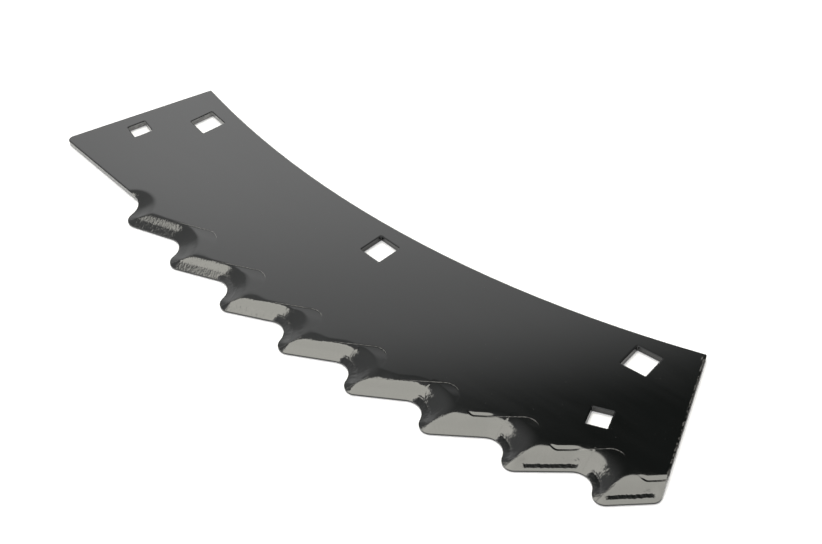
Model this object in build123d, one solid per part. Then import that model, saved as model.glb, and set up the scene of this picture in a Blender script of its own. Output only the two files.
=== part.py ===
from build123d import *
import os
from math import cos, radians, sin, sqrt, tan

# One knife of a forage harvester's rotary cutting head. Several of them, end to end,
# are bolted round a disc. It is one flat steel plate with a concave back, saw teeth on
# its outer edge that are bevelled thin from above, and five square bolt holes.
# Millimetres and degrees. Z = 0 is the underside, and the teeth stand at -Y.

# Plate
plate_thickness = 3.0
plate_width = 94.5                # from the back edge to the tip circle, at the middle
back_radius = 580.0               # concave back edge
back_corner_radius = 0.8
end_lean_angle = 22.0             # each end edge away from the middle line

# Teeth, whose sharp tips lie on one circle
tip_circle_radius = 600.0
tip_circle_shift = 19.3           # its centre lies this far right of the back edge's centre
tooth_count = 8
tooth_pitch_angle = 3.98
first_tip_angle = -13.2           # from straight down, about the tip circle's centre
edge_lean_angle = 27.5            # cutting edge away from the tip circle
flank_lean_angle = 76.0           # back of a tooth away from the tip circle
gullet_radius = 8.6
tip_radius = 5.7
last_edge_length = 28.9           # from the last sharp tip to the right end
heel_radius = 4.5                 # corner between the last cutting edge and the right end

# Plain straight edge before the first tooth
plain_edge_length = 74.5          # from the left end to the sharp corner of the first gullet
plain_edge_angle = -7.3           # from the X axis
first_flank_length = 15.5         # from that corner to the first sharp tip
lead_radius = 3.0                 # corner between the plain edge and the left end

# Bevel on the top face, which follows the teeth
bevel_width = 10.2
edge_thickness = 0.9              # what is left of the plate at the cutting edge
run_out_angle = 75.0              # how far the cone of the first gullet turns past the plain edge
run_out_reach = 7.0               # of that cone in from the plain edge, at the top face
run_out_gap = 8.0                 # between its foot and the plain edge, outside the plate
run_out_top_radius = 13.5
run_out_foot_radius = 3.0
track_depth = 0.3                 # shallow track of the cutter, which runs on past each gullet
track_width = 10.7                # from the cutting edge, at the top face
track_end_radius = 7.2            # at the top face
track_side_width = 0.95           # of the sloping side of the track, seen from above
track_start = 17.0                # from the sharp tip to the centre of the track's first end
track_overrun = 4.0               # from the sharp gullet corner to the centre of its other end

# Square holes for the necks of carriage bolts
bolt_hole = 13.0
bolt_hole_inset = 15.0            # from the back edge
bolt_hole_from_end = 26.3
middle_hole_angle = -5.0
hole_step_angle = 7.0             # from each hole of the row to the next
small_hole = 9.8
left_small_hole_from_end = 12.9
left_small_hole_inset = 38.9      # from the tip circle
left_small_hole_angle = -18.0
right_small_hole_from_end = 35.0
right_small_hole_inset = 44.0
right_small_hole_angle = 20.0
hole_corner_radius = 0.5

rim_break = 0.4                   # 45 degree break of the top rim, round the plate and the holes

spare = 1.0                       # how far the cutting tools stand out of the plate

back_centre = Vector(0, 0)
tip_centre = back_centre + Vector(tip_circle_shift, tip_circle_radius - plate_width - back_radius)


def heading(angle):
    """Unit vector at an angle from the X axis."""
    return Vector(cos(radians(angle)), sin(radians(angle)))


def crossing(start, angle, other_start, other_angle):
    """Point where two lines cross."""
    side = heading(other_angle + 90)
    return start + heading(angle) * ((other_start - start).dot(side) / heading(angle).dot(side))


def meet_circle(start, angle, centre, radius):
    """Point where a line from start first meets a circle."""
    along = (centre - start).dot(heading(angle))
    half_chord = sqrt(radius**2 + along**2 - (centre - start).length ** 2)
    first = along - half_chord if along > half_chord else along + half_chord
    return start + heading(angle) * first


def tip_angle(tooth):
    """Angle of the tip circle's tangent at a tooth."""
    return first_tip_angle + tooth * tooth_pitch_angle


def tip(tooth):
    """Sharp tip of a tooth, before it is rounded."""
    return tip_centre + heading(tip_angle(tooth) - 90) * tip_circle_radius


def edge_angle(tooth):
    """Along the edge that ends in a gullet. Tooth -1 stands for the plain edge."""
    return plain_edge_angle if tooth < 0 else tip_angle(tooth) + edge_lean_angle


def flank_angle(tooth):
    """Down the back of a tooth to its tip."""
    return tip_angle(tooth) - flank_lean_angle


def gullet(tooth):
    """Sharp corner of the gullet after a tooth, before it is rounded."""
    if tooth < 0:
        return tip(0) - heading(flank_angle(0)) * first_flank_length
    return crossing(tip(tooth), edge_angle(tooth), tip(tooth + 1), flank_angle(tooth + 1))


def rounding_length(radius, angle, next_angle):
    """From a corner to where its rounding starts."""
    return radius * tan(radians(abs(next_angle - angle) / 2))


def room_share(tooth):
    """Share of its two roundings that the back of a tooth has room for, at most 1."""
    flank = flank_angle(tooth)
    wanted = rounding_length(gullet_radius, edge_angle(tooth - 1), flank)
    wanted += rounding_length(tip_radius, flank, edge_angle(tooth))
    return min(1.0, 0.99 * (tip(tooth) - gullet(tooth - 1)).length / wanted)


rounding_share = min(room_share(0), room_share(1))
gullet_rounding = gullet_radius * rounding_share
tip_rounding = tip_radius * rounding_share

# Corners of the plate. Both end edges run down from the back, leaning outwards.
left_end_angle = -90 - end_lean_angle
right_end_angle = -90 + end_lean_angle
lead_corner = gullet(-1) - heading(edge_angle(-1)) * plain_edge_length
heel_corner = tip(tooth_count - 1) + heading(edge_angle(tooth_count - 1)) * last_edge_length
left_back = meet_circle(lead_corner, left_end_angle + 180, back_centre, back_radius)
right_back = meet_circle(heel_corner, right_end_angle + 180, back_centre, back_radius)
middle_line = ((left_back + right_back) * 0.5 - back_centre).normalized()


def plate_outline():
    """Flat shape of the plate, with its corners, tips and gullets rounded."""
    gullets = [gullet(tooth) for tooth in range(-1, tooth_count - 1)]
    tips = [tip(tooth) for tooth in range(tooth_count)]
    toothed_edge = [corner for pair in zip(gullets, tips) for corner in pair]
    edges = Polyline(left_back, lead_corner, *toothed_edge, heel_corner, right_back)
    edges += ThreePointArc(right_back, back_centre + middle_line * back_radius, left_back)
    shape = make_face(edges)
    roundings = (([left_back, right_back], back_corner_radius), ([lead_corner], lead_radius),
                 ([heel_corner], heel_radius), (gullets, gullet_rounding), (tips, tip_rounding))
    for corners, radius in roundings:
        sharp = [shape.vertices().sort_by_distance(corner)[0] for corner in corners]
        shape = fillet(sharp, radius)
    return shape


def bevel_section(tooth, share):
    """Level cut through the bevel tool of a gullet, at a share of the way up the bevel."""
    edge, flank = edge_angle(tooth), flank_angle(tooth + 1)
    first, last = edge + 90, flank + 90
    height = edge_thickness + share * (plate_thickness - edge_thickness)
    reach = edge_reach = share * bevel_width
    radius = gullet_rounding + reach
    if tooth < 0:
        first += run_out_angle
        edge_reach = share * (run_out_reach + run_out_gap) - run_out_gap
        radius = run_out_foot_radius + share * (run_out_top_radius - run_out_foot_radius)
    centre = crossing(gullet(tooth) + heading(last) * (reach - radius), flank,
                      gullet(tooth) + heading(edge + 90) * (edge_reach - radius), edge)
    arc_start, arc_middle, arc_end = (centre + heading(angle) * radius
                                      for angle in (first, (first + last) / 2, last))
    tip_side = arc_end + heading(flank) * 3 * bevel_width
    lines = ThreePointArc(arc_start, arc_middle, arc_end) + Line(arc_end, tip_side)
    if tooth < 0:
        lines += Line(tip_side, arc_start)
    else:
        edge_length = (gullet(tooth) - tip(tooth)).length
        edge_side = arc_start - heading(edge) * (edge_length + bevel_width)
        lines += Polyline(tip_side, edge_side, arc_start)
    return Pos(0, 0, height) * make_face(lines)


def bevel_tool(tooth):
    """Everything above the bevel round one gullet.

    The bevel is a plane along the cutting edge, a cone round the gullet and a plane
    down the back of the next tooth. The two planes on a tooth meet in a ridge that
    climbs from its tip. On the plain edge only a leaning cone is cut, and runs out.
    """
    sections = [bevel_section(tooth, share)
                for share in (0, 1 + spare / (plate_thickness - edge_thickness))]
    return loft(sections, ruled=True)


def track_tool(tooth):
    """Shallow round-ended track with sloping sides, along the inner side of a bevel."""
    along = heading(edge_angle(tooth))
    inward = heading(edge_angle(tooth) + 90) * (track_width - track_end_radius)
    start = tip(tooth) + along * track_start + inward
    end = gullet(tooth) + along * track_overrun + inward
    place = Plane((start + end) * 0.5, x_dir=along)
    slots = []
    for above_floor in (0, track_depth + spare):
        radius = track_end_radius + track_side_width * (above_floor / track_depth - 1)
        slot = place * SlotCenterToCenter((end - start).length, 2 * radius)
        slots.append(Pos(0, 0, plate_thickness - track_depth + above_floor) * slot)
    return loft(slots, ruled=True)


def square_tool(centre, size, turn):
    """Square punch through the plate, which opens out at the top rim."""
    def square(wider):
        return RectangleRounded(size + 2 * wider, size + 2 * wider, hole_corner_radius + wider)

    punch = extrude(Pos(0, 0, -spare) * square(0), plate_thickness + 2 * spare)
    rim = [Pos(0, 0, plate_thickness - rim_break) * square(0),
           Pos(0, 0, plate_thickness + spare) * square(rim_break + spare)]
    return Pos(centre.X, centre.Y, 0) * Rot(0, 0, turn) * (punch + loft(rim, ruled=True))


def bolt_holes():
    """Three holes in a row along the back."""
    row_radius = back_radius + bolt_hole_inset
    left = meet_circle(left_back + heading(left_end_angle + 90) * bolt_hole_from_end,
                       left_end_angle, back_centre, row_radius)
    right = meet_circle(right_back + heading(right_end_angle - 90) * bolt_hole_from_end,
                        right_end_angle, back_centre, row_radius)
    middle = back_centre + middle_line * row_radius
    return [square_tool(centre, bolt_hole, middle_hole_angle + step * hole_step_angle)
            for step, centre in ((-1, left), (0, middle), (1, right))]


def small_holes():
    """One hole near each end, nearer the teeth."""
    left = meet_circle(left_back + heading(left_end_angle + 90) * left_small_hole_from_end,
                       left_end_angle, tip_centre, tip_circle_radius - left_small_hole_inset)
    right = meet_circle(right_back + heading(right_end_angle - 90) * right_small_hole_from_end,
                        right_end_angle, tip_centre, tip_circle_radius - right_small_hole_inset)
    return [square_tool(left, small_hole, left_small_hole_angle),
            square_tool(right, small_hole, right_small_hole_angle)]


def knife():
    """The whole knife, centred over the middle of its own box."""
    body = extrude(plate_outline(), plate_thickness)
    body = chamfer(body.faces().sort_by(Axis.Z)[-1].edges(), rim_break)
    tools = [bevel_tool(tooth) for tooth in range(-1, tooth_count)]
    tools += [track_tool(tooth) for tooth in range(tooth_count)]
    tools += bolt_holes() + small_holes()
    body -= tools
    middle = body.bounding_box().center()
    return Pos(-middle.X, -middle.Y, 0) * body


os.makedirs("parts", exist_ok=True)
export_step(knife(), "parts/knife.step")
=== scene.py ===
from math import ceil, cos, radians, sin

import bmesh
import bpy
from mathutils import Euler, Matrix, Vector
from mathutils.geometry import delaunay_2d_cdt
from mathutils.kdtree import KDTree


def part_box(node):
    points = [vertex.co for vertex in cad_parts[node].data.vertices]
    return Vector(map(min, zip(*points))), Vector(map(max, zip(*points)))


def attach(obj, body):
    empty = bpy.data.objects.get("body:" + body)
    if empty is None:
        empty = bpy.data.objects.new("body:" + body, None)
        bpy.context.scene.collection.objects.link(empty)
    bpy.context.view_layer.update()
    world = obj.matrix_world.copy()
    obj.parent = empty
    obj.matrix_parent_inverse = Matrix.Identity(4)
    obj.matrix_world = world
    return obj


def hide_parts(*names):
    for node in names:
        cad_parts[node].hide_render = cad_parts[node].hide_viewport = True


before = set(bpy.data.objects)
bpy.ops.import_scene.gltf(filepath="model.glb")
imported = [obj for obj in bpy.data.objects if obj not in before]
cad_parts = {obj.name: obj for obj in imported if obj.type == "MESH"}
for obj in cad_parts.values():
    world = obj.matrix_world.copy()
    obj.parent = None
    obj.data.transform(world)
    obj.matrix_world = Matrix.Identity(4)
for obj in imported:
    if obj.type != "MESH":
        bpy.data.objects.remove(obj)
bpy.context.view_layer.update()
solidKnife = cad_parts["knife"]
print("frame loaded:", sorted(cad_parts))


def putValue(tree, socket, value):
    # another node's output is linked, anything else is typed in
    if isinstance(value, Field):
        value = value.socket
    if isinstance(value, bpy.types.NodeSocket):
        tree.links.new(value, socket)
    else:
        socket.default_value = value


def addNode(tree, kind, inputs=None, **settings):
    node = tree.nodes.new(kind)
    for name, value in settings.items():
        setattr(node, name, value)
    for name, value in (inputs or {}).items():
        putValue(tree, node.inputs[name], value)
    return node


class Field:
    # a number that varies over the surface, in a shader or a geometry tree
    def __init__(self, tree, socket):
        self.tree, self.socket = tree, socket

    def calc(self, operation, *others):
        inputs = dict(enumerate((self, *others)))
        node = addNode(self.tree, "ShaderNodeMath", inputs, operation=operation)
        return Field(self.tree, node.outputs[0])

    def __add__(self, other):
        return self.calc("ADD", other)

    def __sub__(self, other):
        return self.calc("SUBTRACT", other)

    def __mul__(self, other):
        return self.calc("MULTIPLY", other)

    def __truediv__(self, other):
        return self.calc("DIVIDE", other)

    def __rsub__(self, other):
        return self * -1.0 + other

    __radd__ = __add__
    __rmul__ = __mul__


def ramp(field, low, high, toLow=0.0, toHigh=1.0, soft=True):
    # the field goes from low to high, the result from toLow to toHigh
    node = addNode(field.tree, "ShaderNodeMapRange", {0: field, 1: low, 2: high, 3: toLow, 4: toHigh})
    node.interpolation_type = "SMOOTHSTEP" if soft else "LINEAR"
    return Field(field.tree, node.outputs[0])


def between(field, low, high, fade):
    # 1 from low to high, fading to 0 outside
    return ramp(field, low - fade, low + fade) * ramp(field, high - fade, high + fade, 1.0, 0.0)


def choose(test, yes, no):
    # test is 1 or 0
    return (yes - no) * test + no


def splitPlace(tree, socket):
    parts = addNode(tree, "ShaderNodeSeparateXYZ", {0: socket}).outputs
    return [Field(tree, parts[axis]) for axis in "XYZ"]


def stretched(place, sizes):
    # the place, with a unit of its own along each axis
    parts = {axis: part / size for axis, part, size in zip("XYZ", place, sizes)}
    return addNode(place[0].tree, "ShaderNodeCombineXYZ", parts).outputs[0]


def addNoise(place, sizes, detail=2.0):
    # soft noise about 0, with a size along each axis
    tree = place[0].tree
    node = addNode(tree, "ShaderNodeTexNoise",
                   {"Vector": stretched(place, sizes), "Scale": 1.0, "Detail": detail})
    return Field(tree, node.outputs["Fac"]) - 0.5


def mottleGroup():
    # soft patches, as a share from 0 to 1
    tree = bpy.data.node_groups.new("mottle", "ShaderNodeTree")
    tree.interface.new_socket("Place", in_out="INPUT", socket_type="NodeSocketVector")
    tree.interface.new_socket("Detail", in_out="INPUT", socket_type="NodeSocketFloat")
    tree.interface.new_socket("Spread", in_out="INPUT", socket_type="NodeSocketFloat")
    tree.interface.new_socket("Share", in_out="OUTPUT", socket_type="NodeSocketFloat")
    start, end = tree.nodes.new("NodeGroupInput"), tree.nodes.new("NodeGroupOutput")
    noise = addNode(tree, "ShaderNodeTexNoise",
                    {"Vector": start.outputs["Place"], "Scale": 1.0, "Detail": start.outputs["Detail"]})
    spread = Field(tree, start.outputs["Spread"])
    share = ramp(Field(tree, noise.outputs["Fac"]) - 0.5, spread * -1.0, spread)
    putValue(tree, end.inputs["Share"], share)
    return tree


mottle = mottleGroup()


def addMottle(place, sizes, detail, spread):
    # the patches of the node group, with a size along each axis
    tree = place[0].tree
    inputs = {"Place": stretched(place, sizes), "Detail": detail, "Spread": spread}
    node = addNode(tree, "ShaderNodeGroup", inputs, node_tree=mottle)
    return Field(tree, node.outputs["Share"])


def mixColours(share, first, second):
    # colours come in at sockets 6 and 7, and go out at 2
    node = addNode(share.tree, "ShaderNodeMix", {0: share, 6: first, 7: second}, data_type="RGBA")
    return node.outputs[2]


white = (1.0, 1.0, 1.0, 1.0)


cameraView = {
    "place": (0.41710, -0.36847, 0.51275),
    "turn": (47.125, 3.896, 42.118),      # degrees
    "lens": 70.0,                         # mm
    "sensor": 36.0,
}


def addCamera(s):
    data = bpy.data.cameras.new("camera")
    data.lens = s["lens"]
    data.sensor_width = s["sensor"]
    camera = bpy.data.objects.new("camera", data)
    camera.location = s["place"]
    camera.rotation_euler = Euler([radians(angle) for angle in s["turn"]])
    bpy.context.collection.objects.link(camera)
    bpy.context.scene.camera = camera


addCamera(cameraView)
print("camera placed")


studio = {
    "background": 1.0,                    # as the camera sees it
    "ambient": 0.02,                      # of the dark gap between the lit wall and the lamp
    "leftLight": 0.75,                    # of the gap further to the left
    "leftSide": (-0.14, 0.10),            # cosines between which it fades
    "wallAim": (-1.0, 1.0, 0.0),          # towards the lit wall behind the knife
    "sideAim": (1.0, 1.0, 0.0),           # to the right along it
    "wallRim": (0.661, 0.716, 1.32),      # first and last cosine of a fade, and its light
    "wallBody": (0.694, 0.784, 1.00),
    "wallSide": (-0.36, -0.12, 0.60),     # it is dimmer to the left, by this share
    "roomLight": 0.7,                     # of the room behind the camera
    "roomSpread": (-0.25, 0.15),          # cosines between which it fades
    "lampLight": 7.0,                     # how bright the softbox overhead looks
    "lampColour": (1.0, 0.985, 0.90, 1.0),
    "lampEdge": (0.830, 0.838),           # sine of the height at which it starts
    "lampNear": (-0.08, -0.05),           # and how far it reaches back over the knife
    "lampRight": (0.04, 0.07),            # and to the right
}


def addWorld(s):
    world = bpy.data.worlds.new("studio")
    bpy.context.scene.world = world
    world.use_nodes = True
    tree = world.node_tree
    tree.nodes.clear()
    toSky = addNode(tree, "ShaderNodeTexCoord").outputs["Generated"]

    def towards(direction):
        node = addNode(tree, "ShaderNodeVectorMath", {0: toSky, 1: Vector(direction).normalized()},
                       operation="DOT_PRODUCT")
        return Field(tree, node.outputs["Value"])

    ahead, across = towards(s["wallAim"]), towards(s["sideAim"])
    wall = sum(ramp(ahead, low, high) * light for low, high, light in (s["wallRim"], s["wallBody"]))
    low, high, share = s["wallSide"]
    wall = wall * ramp(across, low, high, share, 1.0)
    lamp = ramp(towards((0, 0, 1)), *s["lampEdge"]) * ramp(towards((0, 1, 0)), *s["lampNear"])
    lamp = lamp * ramp(towards((1, 0, 0)), *s["lampRight"], s["lampLight"], 0.0)
    room = ramp(ahead, *s["roomSpread"], s["roomLight"], 0.0) + s["ambient"]
    wall = wall.calc("MAXIMUM", ramp(across, *s["leftSide"], s["leftLight"], 0.0))
    seen = Field(tree, addNode(tree, "ShaderNodeLightPath").outputs["Is Camera Ray"])
    strength = choose(seen, s["background"], wall + room + lamp)
    colour = mixColours((lamp / s["lampLight"]) * (1.0 - seen), white, s["lampColour"])
    back = addNode(tree, "ShaderNodeBackground", {"Color": colour, "Strength": strength})
    out = tree.nodes.new("ShaderNodeOutputWorld")
    tree.links.new(back.outputs[0], out.inputs["Surface"])


addWorld(studio)
print("light set")


floorLook = {
    "size": 6.0,
    "drop": 0.0004,                       # under the knife
    "colours": ((0.79, 0.79, 0.79, 1.0), (0.82, 0.82, 0.82, 1.0)),
    "patchSize": 0.12,
    "patchDetail": 5.0,
    "patchSpread": 0.2,
    "roughness": 0.9,
    "specular": 0.1,
    "lift": 0.22,                         # seen brightness added, up to white
}


def addFloor(s):
    mesh = bpy.data.meshes.new("floor")
    half = s["size"] / 2
    corners = [(-half, -half), (half, -half), (half, half), (-half, half)]
    mesh.from_pydata([(*corner, -s["drop"]) for corner in corners], [], [(0, 1, 2, 3)])
    floor = bpy.data.objects.new("floor", mesh)
    bpy.context.collection.objects.link(floor)
    material = bpy.data.materials.new("pale_floor")
    material.use_nodes = True
    tree = material.node_tree
    shader = tree.nodes["Principled BSDF"]
    place = splitPlace(tree, addNode(tree, "ShaderNodeTexCoord").outputs["Object"])
    patches = addMottle(place, (s["patchSize"],) * 3, s["patchDetail"], s["patchSpread"])
    putValue(tree, shader.inputs["Base Color"], mixColours(patches, *s["colours"]))
    shader.inputs["Roughness"].default_value = s["roughness"]
    shader.inputs["Specular IOR Level"].default_value = s["specular"]
    path = addNode(tree, "ShaderNodeLightPath").outputs
    seen = Field(tree, path["Is Camera Ray"]).calc("MAXIMUM", path["Is Glossy Ray"])
    seen = seen.calc("MAXIMUM", path["Is Transmission Ray"])
    shader.inputs["Emission Color"].default_value = white
    putValue(tree, shader.inputs["Emission Strength"], seen * s["lift"])
    mesh.materials.append(material)


addFloor(floorLook)
print("floor laid")


# The paint and its marks. Places and sizes are in metres, the heights and depths of marks in
# millimetres. Teeth count from 0, and the gullet before the first tooth is -1.
grindMarks = {
    "strokes": ((0.0009, 0.0024, 0.055), (0.0005, 0.0012, 0.018)),   # across, along, height
    "slant": 0.35,
    "gullets": (-0.8, -0.2),              # the first gullet has none
}


def grindStrokes(skin, s):
    # marks of the grinding wheel, across the bevels
    place = (skin["length"] + skin["reach"] * s["slant"], skin["reach"], skin["place"][2])
    return sum(addNoise(place, (across, along, 1.0)) * high for across, along, high in s["strokes"])


scrape = {
    "depth": 0.323,
    "fall": (0.0013, 0.0032),             # from the cutting edge
    "levelAt": 0.0095,                    # and where it has come up again
    "start": 0.0098,                      # from the sharp tip
    "end": 0.0332,
    "fade": 0.0022,
    "teeth": (4.7, 6.0),                  # it comes in over these
    "lateDepth": 0.028,                   # on the last tooth it is deeper by this
    "lateInward": 0.0009,                 # and lies further in
    "lateStart": 0.0030,                  # and starts and ends nearer to the tip
    "lateEnd": 0.0058,
    "blotSize": (0.0016, 0.0200, 1.0),
    "blotDetail": 4.0,
    "ragged": 0.0018,
}


def scrapeDepth(skin, s):
    # ragged dark scrape near the edge of the last teeth
    blot = addNoise((skin["along"], skin["inward"], skin["tooth"]), s["blotSize"], s["blotDetail"])
    late = (skin["tooth"] - s["teeth"][1]).calc("MAXIMUM", 0.0)
    inward = skin["inward"] - late * s["lateInward"]
    depth = ramp(inward + blot * s["ragged"], *s["fall"], soft=False)
    depth = depth * ramp(inward, s["fall"][1], s["levelAt"], 1.0, 0.0)
    depth = depth * (late * s["lateDepth"] + s["depth"])
    start, end = s["start"] - late * s["lateStart"], s["end"] - late * s["lateEnd"]
    depth = depth * between(skin["along"], start, end, s["fade"])
    return depth * ramp(skin["tooth"], *s["teeth"]) * skin["straight"]


gulletPatch = {
    "slope": 150.0,                       # mm per metre, off the bevel's own
    "levelAt": 0.0022,                    # from the cutting edge, where the bevel's height stays
    "reach": (0.0030, 0.0044),
    "start": (-0.05, 0.10),               # radians round the gullet
    "laterStart": (-0.32, -0.22),         # or from here, if that is later
    "later": 0.175,                       # and this much later from gullet to gullet
    "end": (1.2, 2.4),
    "gullets": (0.2, 0.8),                # it comes in over these
    "ragged": 5.0,                        # radians for each mm of the grinding marks
    "raggedReach": 0.003,                 # metres for each of those radians
}


def patchDepth(skin, strokes, s):
    # rough patch at the cutting edge, part of the way round a gullet, where the bevel is flatter
    ragged = strokes * s["ragged"]
    patch = ramp(skin["bend"] + ragged, *s["start"])
    patch = patch * ramp(skin["bend"] - skin["gullet"] * s["later"] + ragged, *s["laterStart"])
    patch = patch * ramp(skin["reach"] + ragged * s["raggedReach"], *s["reach"], 1.0, 0.0)
    patch = patch * ramp(skin["bend"], *s["end"], 1.0, 0.0) * ramp(skin["gullet"], *s["gullets"])
    return (skin["reach"] - s["levelAt"]) * patch * skin["ground"] * s["slope"]


trackStep = {
    "depth": 0.09,
    "inward": 0.0097,                     # from the cutting edge
    "bendBefore": 0.0252,                 # from the sharp tip
    "bend": 240.0,
    "leanAfter": 0.030,
    "lean": 0.09,
    "fall": (-0.00045, 0.00045),          # across the step
    "rise": (0.0006, 0.0030),
    "inwardTo": (0.0098, 0.0135),
    "alongTo": (0.029, 0.036),
    "teeth": (3.5, 5.2),                  # it comes in over these
}


def stepDepth(skin, s):
    # where a track starts on the last teeth, a shallow step that bends inwards before it
    along, inward = skin["along"], skin["inward"]
    turn = (s["bendBefore"] - along).calc("MAXIMUM", 0.0)
    past = (along - s["leanAfter"]).calc("MAXIMUM", 0.0)
    off = inward - past * s["lean"] - (turn * turn * s["bend"] + s["inward"])
    off = off / (turn * turn * (2 * s["bend"]) ** 2 + 1.0).calc("SQRT")
    step = ramp(off, *s["fall"], soft=False) * ramp(off, *s["rise"], 1.0, 0.0) * s["depth"]
    step = step * ramp(inward, *s["inwardTo"], 1.0, 0.0) * ramp(along, *s["alongTo"], 1.0, 0.0)
    return step * ramp(skin["tooth"], *s["teeth"]) * skin["straight"]


# the worn right end and dust, which the knife has, and a painted highlight along the tracks' sides and a
# painted reflection on the plain edge's cut face
wearAndSheen = {
    "wearAndSheenNoiseSize": (0.0011, 0.0030, 0.0011),
    "wearAndSheenNoiseDetail": 6.0,
    "worn": (0.016, 0.013, 0.009, 1.0),   # scuffed right end
    "wornRim": (0.0003, 0.0020),          # from the rim
    "wornFrom": (0.150, 0.162),           # along the knife
    "wornPull": 0.5,
    "wornSpread": (0.36, 0.56),
    "wornShare": 0.8,
    "wornRoughness": 0.6,
    "wornDepth": 0.01,
    "paintedSideHighlight": (0.110, 0.108, 0.104, 1.0),     # painted highlight: thin light line along a track's side, where the step's wall would catch the light
    "sideHighlightWidth": (0.00008, 0.00032),
    "sideHighlightBreakup": (-0.16, 0.10, 0.35, 1.0),
    "paintedWallReflection": (0.20, 0.20, 0.195, 1.0),     # painted reflection of the pale floor on the cut face of the plain edge
    "wallReflectionTilt": (0.25, 0.45),             # upright part of the face's normal
    "wallReflectionTo": (-0.122, -0.108),           # along the knife
    "wallReflectionBreakup": (-0.2, 0.1, 0.5, 1.0),
    "dust": (0.030, 0.030, 0.028, 1.0),
    "dustSize": (0.0007,) * 3,
    "dustDetail": 0.0,
    "dustSpread": (0.35, 0.39),
    "dustShare": 0.4,
}


def wearAndSheenShares(skin, s):
    # how much of the dust, the worn end, the painted highlight and the painted reflection shows, in the
    # order in which one covers another
    x = skin["place"][0]
    flat = (1.0 - skin["ground"]) * skin["upper"]
    # noise that breaks up the worn end, the painted highlight and the painted reflection
    wearAndSheenNoise = addNoise(skin["place"], s["wearAndSheenNoiseSize"], s["wearAndSheenNoiseDetail"])
    rightEnd = ramp(skin["rim"], *s["wornRim"], 1.0, 0.0) * ramp(x, *s["wornFrom"]) * flat
    worn = ramp(rightEnd * s["wornPull"] + wearAndSheenNoise, *s["wornSpread"]) * s["wornShare"]
    # painted highlight: a thin light line along a track's side, where its step would catch the light
    paintedSideHighlight = ramp(skin["side"].calc("ABSOLUTE"), *s["sideHighlightWidth"], 1.0, 0.0) * skin["sideShow"]
    paintedSideHighlight = paintedSideHighlight * ramp(wearAndSheenNoise, *s["sideHighlightBreakup"]) * flat
    # painted reflection of the pale floor, lighter on the upright cut face at the plain edge
    paintedWallReflection = ramp(skin["upright"], *s["wallReflectionTilt"], 1.0, 0.0) * ramp(x, *s["wallReflectionTo"], 1.0, 0.0)
    paintedWallReflection = paintedWallReflection * ramp(wearAndSheenNoise, *s["wallReflectionBreakup"])
    dust = ramp(addNoise(skin["place"], s["dustSize"], s["dustDetail"]), *s["dustSpread"])
    dust = dust * s["dustShare"]
    return {"dust": dust, "worn": worn, "paintedSideHighlight": paintedSideHighlight, "paintedWallReflection": paintedWallReflection}


paint = {
    "colour": (0.0040, 0.0046, 0.0044, 1.0),
    "roughness": (0.04, 0.075),           # of the flat top, from patch to patch
    "patchSize": (0.050, 0.008, 0.02),
    "patchSlant": 0.4,
    "patchDetail": 4.0,
    "patchSpread": 0.18,
    "groundRoughness": 0.075,             # of the bevels
    "groundTo": (0.0088, 0.0100),         # from the cutting edge
    "upperFrom": (0.0003, 0.0006),        # above the underside, which has no marks
    "straightTo": (0.0003, 0.0008),       # marks of a straight edge end this far past it
    "peelSize": (0.0025,) * 3,            # orange peel
    "peelHeight": 0.0006,
    "heightUnit": 0.001,                  # of these heights, in metres
}


def readSkin(tree, s):
    # what the skin stores at each point, and where it is ground, straight and on the upper side
    stored = ("reach", "length", "along", "inward", "tooth", "gullet", "bend", "rim", "side", "sideShow")
    skin = {name: Field(tree, addNode(tree, "ShaderNodeAttribute", attribute_name=name).outputs["Fac"])
            for name in stored}
    coordinates = addNode(tree, "ShaderNodeTexCoord").outputs
    skin["place"] = splitPlace(tree, coordinates["Object"])
    skin["upright"] = splitPlace(tree, coordinates["Normal"])[2].calc("ABSOLUTE")
    skin["upper"] = ramp(skin["place"][2], *s["upperFrom"])
    skin["ground"] = ramp(skin["reach"], *s["groundTo"], 1.0, 0.0) * skin["upper"]
    past = (skin["reach"] - skin["inward"]).calc("ABSOLUTE")
    skin["straight"] = ramp(past, *s["straightTo"], 1.0, 0.0) * skin["upper"]
    return skin


def paintMaterial(s):
    material = bpy.data.materials.new("black_paint")
    material.use_nodes = True
    tree = material.node_tree
    shader = tree.nodes["Principled BSDF"]
    skin = readSkin(tree, s)
    shares = wearAndSheenShares(skin, wearAndSheen)

    # the dust, the worn end, the painted highlight and the painted reflection go over the black paint
    colour = s["colour"]
    for name, share in shares.items():
        colour = mixColours(share, colour, wearAndSheen[name])
    putValue(tree, shader.inputs["Base Color"], colour)

    x, y, z = skin["place"]
    place = (x + y * s["patchSlant"], y, z)
    patches = addMottle(place, s["patchSize"], s["patchDetail"], s["patchSpread"])
    smooth, dull = s["roughness"]
    roughness = choose(skin["ground"], s["groundRoughness"], choose(patches, dull, smooth))
    scuffed = shares["worn"].calc("MAXIMUM", shares["dust"])
    putValue(tree, shader.inputs["Roughness"], choose(scuffed, wearAndSheen["wornRoughness"], roughness))

    strokes = grindStrokes(skin, grindMarks)
    height = addNoise(skin["place"], s["peelSize"]) * s["peelHeight"]
    height = height + strokes * skin["ground"] * ramp(skin["gullet"], *grindMarks["gullets"])
    height = height - scrapeDepth(skin, scrape) - patchDepth(skin, strokes, gulletPatch)
    height = height - stepDepth(skin, trackStep) - shares["worn"] * wearAndSheen["wornDepth"]
    bump = addNode(tree, "ShaderNodeBump", {"Height": height, "Distance": s["heightUnit"]})
    tree.links.new(bump.outputs["Normal"], shader.inputs["Normal"])
    return material


blackPaint = paintMaterial(paint)
for slot in solidKnife.material_slots:
    slot.material = blackPaint
print("paint made")


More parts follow.
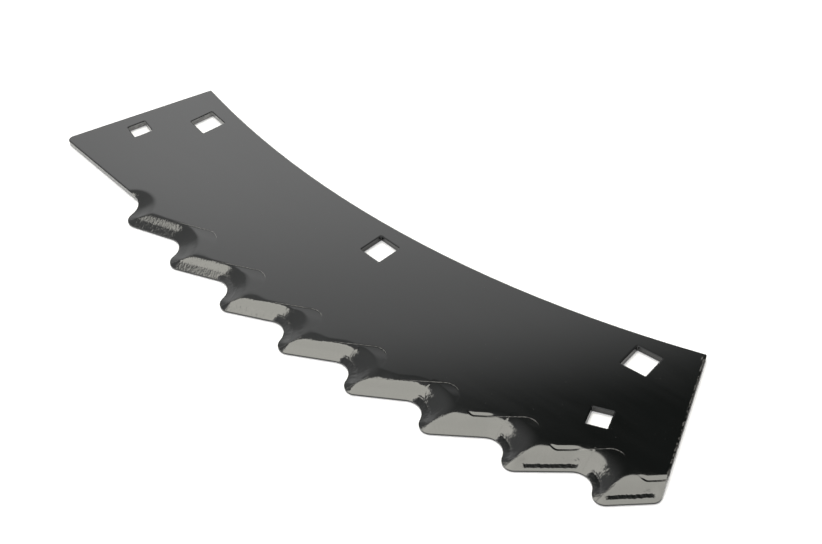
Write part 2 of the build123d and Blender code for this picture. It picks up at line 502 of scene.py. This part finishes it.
# The ground teeth, in metres and degrees, in the frame of the solid model.
toothShape = {
    "circleCentre": (0.018731, 0.540070),
    "circleRadius": 0.600,                # the sharp tips lie on this circle
    "count": 8,
    "pitch": 3.98,
    "firstTip": -13.2,                    # from straight down
    "edgeLean": 27.5,                     # cutting edge away from the circle
    "flankLean": 76.0,                    # back of a tooth away from the circle
    "gulletRadius": 0.0086,
    "lead": 0.9,                          # a tooth's share of the circle starts this much before its tip
    "plateThickness": 0.003,
    "edgeThickness": 0.0009,
    "lowerSlope": 0.186,                  # of the bevel at the cutting edge
    "upperSlope": 0.276,                  # and further in, where the wheel cut deeper
    "slopeChange": 0.0046,                # from the cutting edge
    "slopeSoftness": 0.00004,
    "firstShoulder": 0.0085,              # to where the gentle hollow above the bevel reaches
    "lastShoulder": 0.0162,
    "shoulderBend": 12.0,
    "shoulderDepth": 0.0021,              # at most this at the cutting edge, so it stays above the bevel
    "shoulderSoftness": 0.004,            # of its own ridge from a tip
    "shoulderHump": 0.0020,               # how much further in it reaches before a track starts
    "humpRise": (0.000, 0.008),           # from the sharp tip
    "humpFall": (0.017, 0.025),
    "firstCrease": 0.00050,               # softness where the bevel meets it, on the first tooth
    "crease": 0.00022,                    # and from this many teeth on
    "creaseFrom": 3.0,
    "ridge": 0.00140,                     # softness of the bevel's ridge from a tip
    "tipRadius": 0.0057,
    "rimBreak": 0.0004,
    "rimSoftness": 0.0001,
    "thinnest": 0.9,                      # share of the edge thickness that is always left
}
firstGullet = {
    "edgeAngle": -7.3,                    # plain edge
    "flankLength": 0.0155,                # from its sharp corner to the first sharp tip
    "reach": 0.007,                       # of the leaning cone in from the plain edge, at the top
    "gap": 0.008,                         # between its foot and the plain edge
    "topRadius": 0.0135,
    "footRadius": 0.003,
    "bevelWidth": 0.0102,
}
cutterTrack = {
    "startDepth": 0.00006,                # where it starts, and at its other end
    "endDepth": 0.00003,
    "width": 0.0106,                      # from the cutting edge, at its far end
    "lean": 0.055,                        # it starts nearer to the edge, by this share of its length
    "endRadius": 0.0072,
    "sideSlope": 0.12,
    "start": 0.0245,                      # from the sharp tip to the centre of its first end
    "overrun": 0.0058,                    # from the sharp gullet corner to that of its other end
    "fade": (0.003, 0.009),               # it fades where its far end comes this near to the edge
    "softness": 0.00002,
    "showAlong": (0.024, 0.031),          # its side shows a painted highlight past here, from the sharp tip
    "showInward": (0.0060, 0.0095),       # and from the cutting edge
}
skinMesh = {
    "fine": 0.00045,                      # between the points of the ground part
    "coarse": 0.006,
    "groundDepth": 0.034,                 # of the ground part, in from the tip circle
    "edgeStep": 0.0006,                   # along the outline
    "rimRows": (0.00014, 0.00028, 0.00042, 0.00056, 0.00075),
    "rimRoom": 0.9,                       # least distance to older points, as a share of the row's
    "fineRoom": 0.6,                      # or of the spacing
    "coarseRoom": 0.4,
    "rowHeight": 0.866,                   # of the grids, as a share of the spacing
    "borderStep": 0.0001,                 # between the points that distances are measured to
    "weld": 1e-6,                         # corners of the solid closer than this are one
    "touch": 1e-7,                        # a point closer than this to a line lies on it
    "level": 0.99,                        # upright part of a level face's normal
    "sharp": 32.0,                        # degrees, between faces that meet in a sharp edge
}


def undersideLoops(node, s):
    # closed loops of the flat underside, the outline and the five holes
    shape = bmesh.new()
    shape.from_mesh(node.data)
    bmesh.ops.remove_doubles(shape, verts=shape.verts, dist=s["weld"])
    flat = {face for face in shape.faces if face.normal.z < -s["level"]}
    following = {}
    for face in flat:
        for loop in face.loops:
            if sum(other in flat for other in loop.edge.link_faces) == 1:
                following[loop.vert] = loop.link_loop_next.vert
    loops = []
    while following:
        corner, after = following.popitem()
        loop = [corner.co.xy.copy()]
        while after in following:
            loop.append(after.co.xy.copy())
            after = following.pop(after)
        loops.append(loop)
    shape.free()
    return sorted(loops, key=len, reverse=True)


def refineLoop(loop, step):
    points = []
    for a, b in zip(loop, loop[1:] + loop[:1]):
        count = max(1, ceil((b - a).length / step))
        points += [a.lerp(b, i / count) for i in range(count)]
    return points


def insideSquare(place, loop, far=1.5):
    # whether a place is in a square hole; one far from its middle needs no closer look
    middle = sum(loop, Vector((0, 0))) / len(loop)
    if (place - middle).length > (loop[0] - middle).length * far:
        return False
    return all((b - a).cross(place - a) > 0 for a, b in zip(loop, loop[1:] + loop[:1]))


def nearestPoints(points):
    tree = KDTree(len(points))
    for i, point in enumerate(points):
        tree.insert((*point, 0), i)
    tree.balance()
    return tree


def hexGrid(box, step, rowHeight):
    (x0, y0, _), (x1, y1, _) = box
    for row in range(int((y1 - y0) / (step * rowHeight)) + 1):
        y = y0 + row * step * rowHeight
        for column in range(int((x1 - x0) / step) + 1):
            yield Vector((x0 + (column + 0.5 * (row % 2)) * step, y))


def sheetPoints(loops, border, s, t):
    # rows along the rim, a fine grid where the teeth are ground and a coarse one over the rest
    centre = Vector(t["circleCentre"])
    groundFrom = t["circleRadius"] - s["groundDepth"]
    points = [point for loop in loops for point in loop]
    for loop in loops:
        for before, point, after in zip(loop[-1:] + loop[:-1], loop, loop[1:] + loop[:1]):
            inward = (after - before).normalized().orthogonal()
            for row in s["rimRows"]:
                for place in (point + inward * row, point - inward * row):
                    if border.find((*place, 0))[2] > row * s["rimRoom"]:
                        points.append(place)
    rows = nearestPoints(points)

    def hasRoom(place, distance):
        return rows.find((*place, 0))[2] > distance

    for place in hexGrid(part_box("knife"), s["fine"], s["rowHeight"]):
        if (place - centre).length > groundFrom and hasRoom(place, s["fine"] * s["fineRoom"]):
            points.append(place)
    coarseTo = groundFrom - s["coarse"] / 2
    for place in hexGrid(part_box("knife"), s["coarse"], s["rowHeight"]):
        if (place - centre).length < coarseTo and hasRoom(place, s["coarse"] * s["coarseRoom"]):
            points.append(place)
    return points


def flatSheet(s, t):
    # triangles over the plate's outline, fine where the teeth are ground
    loops = [refineLoop(loop, s["edgeStep"]) for loop in undersideLoops(solidKnife, s)]
    border = nearestPoints([p for loop in loops for p in refineLoop(loop, s["borderStep"])])
    edges, first = [], 0
    for loop in loops:
        edges += [(first + i, first + (i + 1) % len(loop)) for i in range(len(loop))]
        first += len(loop)
    insideOutline = 1                     # the kind of result: triangles within the loops
    flat, _, faces, *_ = delaunay_2d_cdt(sheetPoints(loops, border, s, t), edges, [],
                                         insideOutline, s["touch"])
    faces = [face for face in faces
             if not any(insideSquare(sum((flat[i] for i in face), Vector((0, 0))) / 3, hole)
                        for hole in loops[1:])]
    used = sorted({i for face in faces for i in face})
    number = {old: new for new, old in enumerate(used)}
    mesh = bpy.data.meshes.new("knife_skin")
    triangles = [[number[i] for i in face] for face in faces]
    mesh.from_pydata([(*flat[i], 0) for i in used], [], triangles)
    mesh.update()
    rim = mesh.attributes.new("rim", "FLOAT", "POINT")
    rim.data.foreach_set("value", [border.find((*flat[i], 0))[2] for i in used])
    return mesh


def toothPlace(x, y, given, t):
    # polar place about the tip circle's centre, and the number of the tooth there
    dx, dy = x - t["circleCentre"][0], y - t["circleCentre"][1]
    distance = (dx * dx + dy * dy).calc("SQRT")
    turn = dx.calc("ARCTAN2", dy * -1.0) - given["First tip"]
    number = ((turn + given["Lead"]) / given["Pitch"]).calc("FLOOR")
    number = number.calc("MAXIMUM", 0.0).calc("MINIMUM", given["Teeth"] - 1.0)
    return distance, turn, number


def toothAxes(distance, turn, number, given):
    # along a tooth's cutting edge from its sharp tip, and inwards from the edge
    swing = turn - number * given["Pitch"] - given["Edge lean"]
    radius = given["Circle radius"]
    along = swing.calc("SINE") * distance + given["Edge lean"].calc("SINE") * radius
    inward = given["Edge lean"].calc("COSINE") * radius - swing.calc("COSINE") * distance
    return along, inward


def gulletPath(along, inward, given):
    # distance in from the edge, round the gullet and down the next back, length along them,
    # and the turn round the gullet
    radius, bend = given["Gullet radius"], given["Gullet bend"]
    straight = given["Edge length"] - (bend / 2.0).calc("TANGENT") * radius
    x, y = along - straight, inward + radius
    past = x.calc("MAXIMUM", 0.0)
    reach = (past * past + y * y).calc("SQRT")
    length = along.calc("MINIMUM", straight) + past.calc("ARCTAN2", y).calc("MAXIMUM", 0.0) * radius
    down = x * bend.calc("COSINE") - y * bend.calc("SINE")
    onBack = down.calc("GREATER_THAN", 0.0)
    reach = choose(onBack, x * bend.calc("SINE") + y * bend.calc("COSINE"), reach)
    length = choose(onBack, straight + bend * radius + down, length)
    return reach - radius, length, (length - straight) / radius


def roundedTip(along, inward, given):
    # distance in from the round of a tip, and whether it is the nearest part of the outline
    lean = given["Gullet bend"] + given["Pitch"]
    radius = given["Tip radius"]
    x, y = along - (lean / 2.0).calc("TANGENT") * radius, inward - radius
    distance = (x * x + y * y).calc("SQRT")
    upBack = y * lean.calc("SINE") - x * lean.calc("COSINE")
    return radius - distance, x.calc("LESS_THAN", 0.0) * upBack.calc("LESS_THAN", 0.0)


def leaningCone(x, y, s, t):
    # distance up the bevel of the first gullet, whose cone leans and runs out on the plain edge
    edge = Vector((cos(radians(s["edgeAngle"])), sin(radians(s["edgeAngle"]))))
    edgeIn = Vector((-edge.y, edge.x))
    back = radians(t["firstTip"] - t["flankLean"])
    back = Vector((cos(back), sin(back)))
    backIn = Vector((-back.y, back.x))
    tip = Vector((sin(radians(t["firstTip"])), -cos(radians(t["firstTip"])))) * t["circleRadius"]
    corner = Vector(t["circleCentre"]) + tip - back * s["flankLength"]

    def circle(share):
        radius = s["footRadius"] + share * (s["topRadius"] - s["footRadius"])
        fromBack = share * s["bevelWidth"] - radius
        fromEdge = share * (s["reach"] + s["gap"]) - s["gap"] - radius
        slant = edgeIn.dot(backIn)
        alongBackIn = (fromBack - slant * fromEdge) / (1 - slant * slant)
        alongEdgeIn = (fromEdge - slant * fromBack) / (1 - slant * slant)
        return backIn * alongBackIn + edgeIn * alongEdgeIn, radius

    (foot, footRadius), (top, topRadius) = circle(0), circle(1)
    rise, growth = top - foot, topRadius - footRadius
    # the share of the way up where the cone's circle passes through the point, from a quadratic,
    # or of the plane down the tooth's back
    dx, dy = x - corner.x, y - corner.y
    onBackShare = (dx * backIn.x + dy * backIn.y) / s["bevelWidth"]
    wx, wy = dx - foot.x, dy - foot.y
    half = wx * rise.x + wy * rise.y + footRadius * growth
    spread = growth ** 2 - rise.length_squared
    share = (half * half + (wx * wx + wy * wy - footRadius ** 2) * spread).calc("SQRT") - half
    share = share / spread
    down = (wx - onBackShare * rise.x) * back.x + (wy - onBackShare * rise.y) * back.y
    return choose(down.calc("GREATER_THAN", 0.0), onBackShare, share) * s["bevelWidth"]


def cutTrack(along, inward, given, s):
    # distance out from the rim of the track, and the height of its floor and sloping side
    farEnd = given["Edge length"] + s["overrun"]
    middle = (farEnd + s["start"]) * 0.5
    past = ((along - middle).calc("ABSOLUTE") - (middle - s["start"])).calc("MAXIMUM", 0.0)
    shift = (along.calc("MINIMUM", farEnd) - farEnd) * s["lean"]
    side = inward - (s["width"] - s["endRadius"]) - shift
    reach = (past * past + side * side).calc("SQRT") - s["endRadius"]
    depth = ramp(along, s["start"], farEnd, s["startDepth"], s["endDepth"], soft=False)
    depth = depth * ramp(inward, *s["fade"])
    height = (given["Plate thickness"] - depth).calc(
        "SMOOTH_MAX", given["Plate thickness"] + reach * s["sideSlope"], s["softness"])
    return reach, height


def knifeSizes(t):
    # named sizes for the tree: angles in radians, lengths in metres
    pitch = radians(t["pitch"])
    bend = radians(t["edgeLean"] + t["flankLean"]) - pitch
    chord = 2 * t["circleRadius"] * sin(pitch / 2)
    edgeLength = chord * sin(radians(t["flankLean"]) - pitch / 2) / sin(bend)
    return {
        "Circle radius": t["circleRadius"], "Teeth": float(t["count"]), "Pitch": pitch,
        "First tip": radians(t["firstTip"]), "Edge lean": radians(t["edgeLean"]),
        "Lead": radians(t["lead"]), "Gullet radius": t["gulletRadius"], "Gullet bend": bend,
        "Edge length": edgeLength, "Edge thickness": t["edgeThickness"],
        "Plate thickness": t["plateThickness"], "Lower slope": t["lowerSlope"],
        "Upper slope": t["upperSlope"], "Slope change": t["slopeChange"],
        "Slope softness": t["slopeSoftness"], "Shoulder bend": t["shoulderBend"],
        "First shoulder": t["firstShoulder"], "Last shoulder": t["lastShoulder"],
        "Shoulder hump": t["shoulderHump"], "Shoulder depth": t["shoulderDepth"],
        "First crease": t["firstCrease"], "Crease": t["crease"], "Ridge": t["ridge"],
        "Tip radius": t["tipRadius"], "Rim break": t["rimBreak"],
    }


def bevelHeight(reach, given):
    # two planes, of which the inner one is steeper
    lower, upper = given["Lower slope"], given["Upper slope"]
    outer = reach * lower
    inner = reach * upper - (upper - lower) * given["Slope change"]
    return given["Edge thickness"] + outer.calc("SMOOTH_MAX", inner, given["Slope softness"])


def shoulderHeight(reach, along, turn, given, t):
    # flat top, and above the bevel a gentle hollow that grows along the row of teeth
    shoulder = ramp(turn / given["Pitch"], 0.0, given["Teeth"],
                    given["First shoulder"], given["Last shoulder"], soft=False)
    beforeTrack = ramp(along, *t["humpRise"]) * ramp(along, *t["humpFall"], 1.0, 0.0)
    shoulder = shoulder + beforeTrack * given["Shoulder hump"]
    bend = (given["Shoulder depth"] / (shoulder * shoulder)).calc("MINIMUM", given["Shoulder bend"])
    hollow = (shoulder - reach).calc("MAXIMUM", 0.0)
    return given["Plate thickness"] - hollow * hollow * bend


def grindTree(sizes, t, material):
    tree = bpy.data.node_groups.new("ground_teeth", "GeometryNodeTree")
    tree.is_modifier = True
    tree.interface.new_socket("Geometry", in_out="INPUT", socket_type="NodeSocketGeometry")
    tree.interface.new_socket("Geometry", in_out="OUTPUT", socket_type="NodeSocketGeometry")
    asNumber = {"in_out": "INPUT", "socket_type": "NodeSocketFloat"}
    keys = {name: tree.interface.new_socket(name, **asNumber).identifier for name in sizes}
    start, end = tree.nodes.new("NodeGroupInput"), tree.nodes.new("NodeGroupOutput")
    given = {name: Field(tree, start.outputs[name]) for name in sizes}

    # where a point lies, from its own tooth and from the one before
    x, y, _ = splitPlace(tree, addNode(tree, "GeometryNodeInputPosition").outputs[0])
    distance, turn, number = toothPlace(x, y, given, t)
    first = number.calc("LESS_THAN", 0.5)            # 1 on the first tooth, else 0
    own = toothAxes(distance, turn, number, given)
    last = toothAxes(distance, turn, number - 1.0, given)
    ownReach, ownLength, ownTurn = gulletPath(*own, given)
    lastReach, lastLength, lastTurn = gulletPath(*last, given)
    lastReach = choose(first, leaningCone(x, y, firstGullet, t), lastReach)

    # the lowest of bevel, hollow top, tracks and broken rim
    tipReach, atTip = roundedTip(*own, given)
    bevelReach = ownReach.calc("SMOOTH_MIN", lastReach, given["Ridge"])
    height = bevelHeight(choose(atTip, tipReach, bevelReach), given)
    shoulderReach = ownReach.calc("SMOOTH_MIN", lastReach, t["shoulderSoftness"])
    top = shoulderHeight(shoulderReach, own[0], turn, given, t)
    ownSide, ownTrack = cutTrack(*own, given, cutterTrack)
    lastSide, lastTrack = cutTrack(*last, given, cutterTrack)
    lastSide, lastTrack = lastSide + first, lastTrack + first        # a metre away there
    top = top.calc("SMOOTH_MIN", ownTrack, cutterTrack["softness"])
    top = top.calc("SMOOTH_MIN", lastTrack, cutterTrack["softness"])
    crease = ramp(turn / given["Pitch"], 0.0, t["creaseFrom"],
                  given["First crease"], given["Crease"], soft=False)
    height = height.calc("SMOOTH_MIN", top, crease)
    named = addNode(tree, "GeometryNodeInputNamedAttribute", {"Name": "rim"}, data_type="FLOAT")
    rim = Field(tree, named.outputs["Attribute"])
    rimTop = given["Plate thickness"] - given["Rim break"] + rim
    height = height.calc("SMOOTH_MIN", rimTop, t["rimSoftness"])
    height = height.calc("MAXIMUM", given["Edge thickness"] * t["thinnest"])
    place = addNode(tree, "ShaderNodeCombineXYZ", {"X": x, "Y": y, "Z": height}).outputs[0]
    shape = addNode(tree, "GeometryNodeSetPosition",
                    {"Geometry": start.outputs["Geometry"], "Position": place})

    # what the paint needs to know at each point
    useLast = lastReach.calc("LESS_THAN", ownReach)
    nearLast = lastSide.calc("ABSOLUTE").calc("LESS_THAN", ownSide.calc("ABSOLUTE"))
    sideAlong, sideInward = (choose(nearLast, there, here) for there, here in zip(last, own))
    pathLength = given["Edge length"] + given["Gullet bend"] * given["Gullet radius"] * 2.0
    showAlong, showInward = cutterTrack["showAlong"], cutterTrack["showInward"]
    stored = {
        "reach": ownReach.calc("MINIMUM", lastReach),
        "length": choose(useLast, lastLength, ownLength + pathLength) + number * pathLength,
        "gullet": number - useLast,
        "bend": choose(useLast, lastTurn, ownTurn),
        "side": choose(nearLast, lastSide, ownSide),
        # where a track's side shows its painted highlight
        "sideShow": ramp(sideAlong, *showAlong) * ramp(sideInward, *showInward),
        "along": own[0],
        "inward": own[1],
        "tooth": number,
    }
    geometry = shape.outputs["Geometry"]
    for name, value in stored.items():
        geometry = addNode(tree, "GeometryNodeStoreNamedAttribute",
                           {"Geometry": geometry, "Name": name, "Value": value},
                           data_type="FLOAT", domain="POINT").outputs["Geometry"]
    real = addNode(tree, "GeometryNodeRealizeInstances", {"Geometry": geometry})
    painted = addNode(tree, "GeometryNodeSetMaterial",
                      {"Geometry": real.outputs["Geometry"], "Material": material})
    tree.links.new(painted.outputs["Geometry"], end.inputs["Geometry"])
    return tree, keys


def groundSheet(s, t, material):
    # the flat sheet with its teeth ground by the tree
    sheet = bpy.data.objects.new("knife_skin", flatSheet(s, t))
    bpy.context.collection.objects.link(sheet)
    sizes = knifeSizes(t)
    tree, keys = grindTree(sizes, t, material)
    grind = sheet.modifiers.new("grind", "NODES")
    grind.node_group = tree
    for name, value in sizes.items():
        grind[keys[name]] = value
    shaped = sheet.evaluated_get(bpy.context.evaluated_depsgraph_get())
    shaped = bpy.data.meshes.new_from_object(shaped)
    sheet.modifiers.remove(grind)
    sheet.data = shaped
    return sheet


def closeSkin(skin, s):
    # walls down to the underside, and the underside
    shape = bmesh.new()
    shape.from_mesh(skin.data)
    border = [edge for edge in shape.edges if edge.is_boundary]
    lowered = bmesh.ops.extrude_edge_only(shape, edges=border)["geom"]
    for vert in lowered:
        if isinstance(vert, bmesh.types.BMVert):
            vert.co.z = 0
    foot = [edge for edge in lowered if isinstance(edge, bmesh.types.BMEdge) and edge.is_boundary]
    bmesh.ops.triangle_fill(shape, edges=foot, use_beauty=True, normal=(0, 0, -1))
    bmesh.ops.recalc_face_normals(shape, faces=shape.faces)
    for face in shape.faces:
        face.smooth = True
    shape.to_mesh(skin.data)
    shape.free()
    skin.data.set_sharp_from_angle(angle=radians(s["sharp"]))


knifeSkin = groundSheet(skinMesh, toothShape, blackPaint)
print("teeth ground:", len(knifeSkin.data.vertices), "points")
closeSkin(knifeSkin, skinMesh)
print("skin closed:", len(knifeSkin.data.polygons), "faces")

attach(knifeSkin, "root")
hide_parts("knife")
bpy.context.scene.view_settings.view_transform = "Standard"
